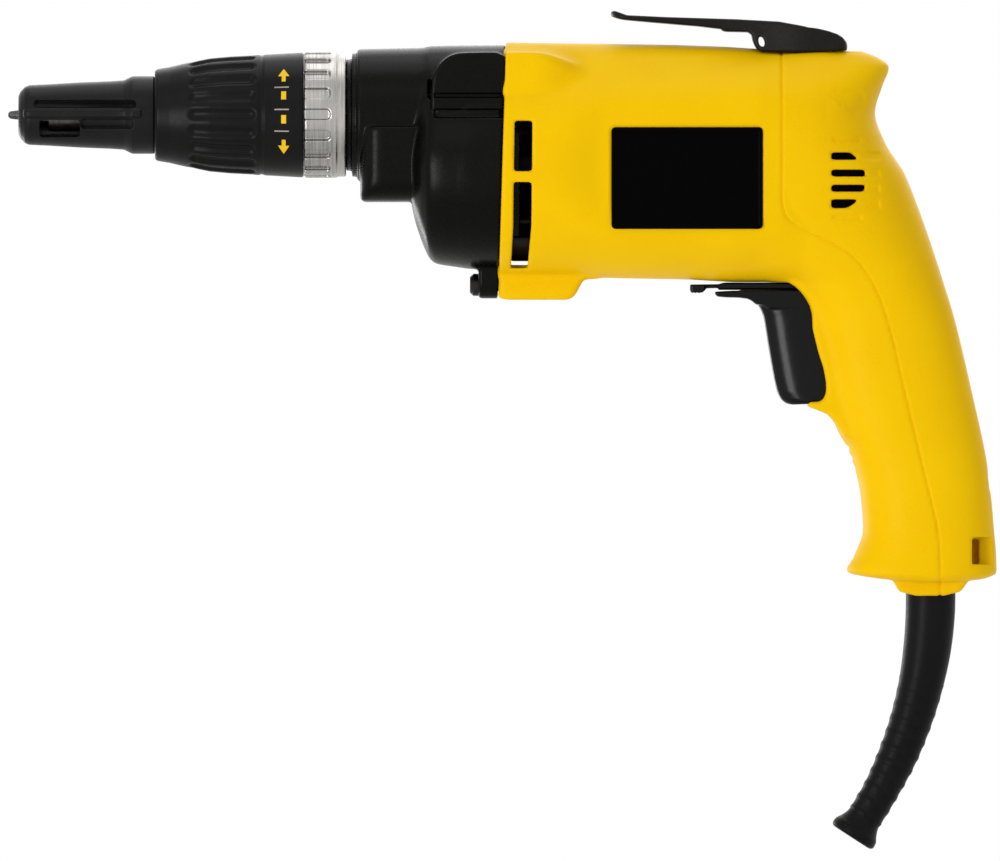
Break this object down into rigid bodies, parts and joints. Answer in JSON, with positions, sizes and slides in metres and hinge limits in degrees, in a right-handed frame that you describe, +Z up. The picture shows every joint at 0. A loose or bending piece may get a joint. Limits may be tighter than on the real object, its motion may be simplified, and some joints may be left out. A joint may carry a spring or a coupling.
{
  "type": "drywall screwdriver",
  "caption": "Corded drywall screwdriver with a fluted depth collar, tapered nosepiece, slotted metal ring, barrel motor housing, swept grip, belt hook and curved cord guard.",
  "frame": {"origin": "centre of the nosepiece's front face, on the spindle axis", "axes": "+X back along the spindle towards the handle, +Y to the holder's right, +Z up from the spindle to the belt hook"},
  "size_m": [0.3017, 0.0672, 0.2563],
  "materials": {
    "yellow_plastic": "satin moulded plastic",
    "black_plastic": "fine-grained moulded plastic",
    "black_metal": "semi-matt black coating",
    "plate_black": "smooth black, left bare",
    "bright_metal": "turned and tumbled",
    "screw_steel": "dark plated",
    "machined_steel": "machined",
    "spring_steel": "drawn wire",
    "bronze": "sintered bronze",
    "brush_brass": "pressed brass",
    "copper": "enamelled copper",
    "lamination": "stacked sheet",
    "carbon": "pressed carbon",
    "plate_alloy": "die cast",
    "felt": "oiled felt",
    "guard_rubber": "smooth rubber"
  },
  "bodies": {
    "housing": {"motor_housing": "yellow_plastic", "rear_handle_cover": "yellow_plastic", "cover_screws": "screw_steel", "side_plates": "plate_black", "belt_hook": "black_metal", "belt_hook_screws": "screw_steel", "gear_case": "black_metal", "gear_case_screws": "screw_steel", "bearing_plate": "plate_alloy", "armature_front_bearing": "machined_steel", "armature_rear_bearing": "machined_steel", "rear_bearing_bracket": "black_plastic", "brush_holders": "brush_brass", "carbon_brushes": "carbon", "brush_springs": "spring_steel", "fan_baffle": "black_plastic", "field_core": "lamination", "field_windings": "copper", "switch_body": "black_plastic", "trigger_spring": "spring_steel", "cord_guard": "guard_rubber", "cord_clamp": "black_plastic", "cord_clamp_screws": "screw_steel", "threaded_sleeve": "machined_steel", "detent_ring": "bright_metal", "felt_seal": "felt", "spindle_front_bush": "bronze", "spindle_tail_bearing": "bronze", "thrust_washer": "machined_steel"},
    "armature": {"armature_shaft": "machined_steel", "armature_core": "lamination", "armature_windings": "copper", "commutator": "copper", "cooling_fan": "black_plastic"},
    "drive": {"drive_gear": "machined_steel", "clutch_spring": "spring_steel"},
    "spindle": {"spindle": "machined_steel", "bit_holder": "machined_steel", "bit_magnet": "lamination", "screwdriver_bit": "machined_steel"},
    "trigger": {"trigger": "black_plastic"},
    "lever": {"reversing_lever": "black_plastic"},
    "nose": {"nosepiece": "black_plastic", "nosepiece_snap_ring": "spring_steel"},
    "collar": {"depth_collar": "black_plastic", "collar_click_spring": "spring_steel"}
  },
  "joints": [
    {"name": "armature_spin", "type": "hinge", "parent": "housing", "child": "armature", "pos_m": [0.188, 0, -0.016], "axis": [1, 0, 0], "continuous": true},
    {"name": "gear_spin", "type": "hinge", "parent": "housing", "child": "drive", "pos_m": [0.133, 0, 0], "axis": [1, 0, 0], "continuous": true},
    {"name": "spindle_press", "type": "slide", "parent": "drive", "child": "spindle", "axis": [1, 0, 0], "range_m": [0, 0.003], "stiffness_N_per_m": 2500, "deforming": ["clutch_spring"]},
    {"name": "trigger_pull", "type": "slide", "parent": "housing", "child": "trigger", "axis": [1, 0, 0], "range_m": [0, 0.006], "stiffness_N_per_m": 800, "deforming": ["trigger_spring"]},
    {"name": "reverse_swing", "type": "hinge", "parent": "housing", "child": "lever", "pos_m": [0.2449, 0, -0.0525], "axis": [0, 0, 1], "range_deg": [-9, 9]},
    {"name": "depth_slide", "type": "slide", "parent": "housing", "child": "nose", "axis": [1, 0, 0], "range_m": [-0.006, 0]},
    {"name": "collar_turn", "type": "hinge", "parent": "nose", "child": "collar", "pos_m": [0.065, 0, 0], "axis": [1, 0, 0], "range_deg": [0, 270]}
  ],
  "couplings": [
    {"joint": "gear_spin", "follows": "armature_spin", "ratio": -0.25},
    {"joint": "collar_turn", "follows": "depth_slide", "rad_per_m": -785.4}
  ]
}
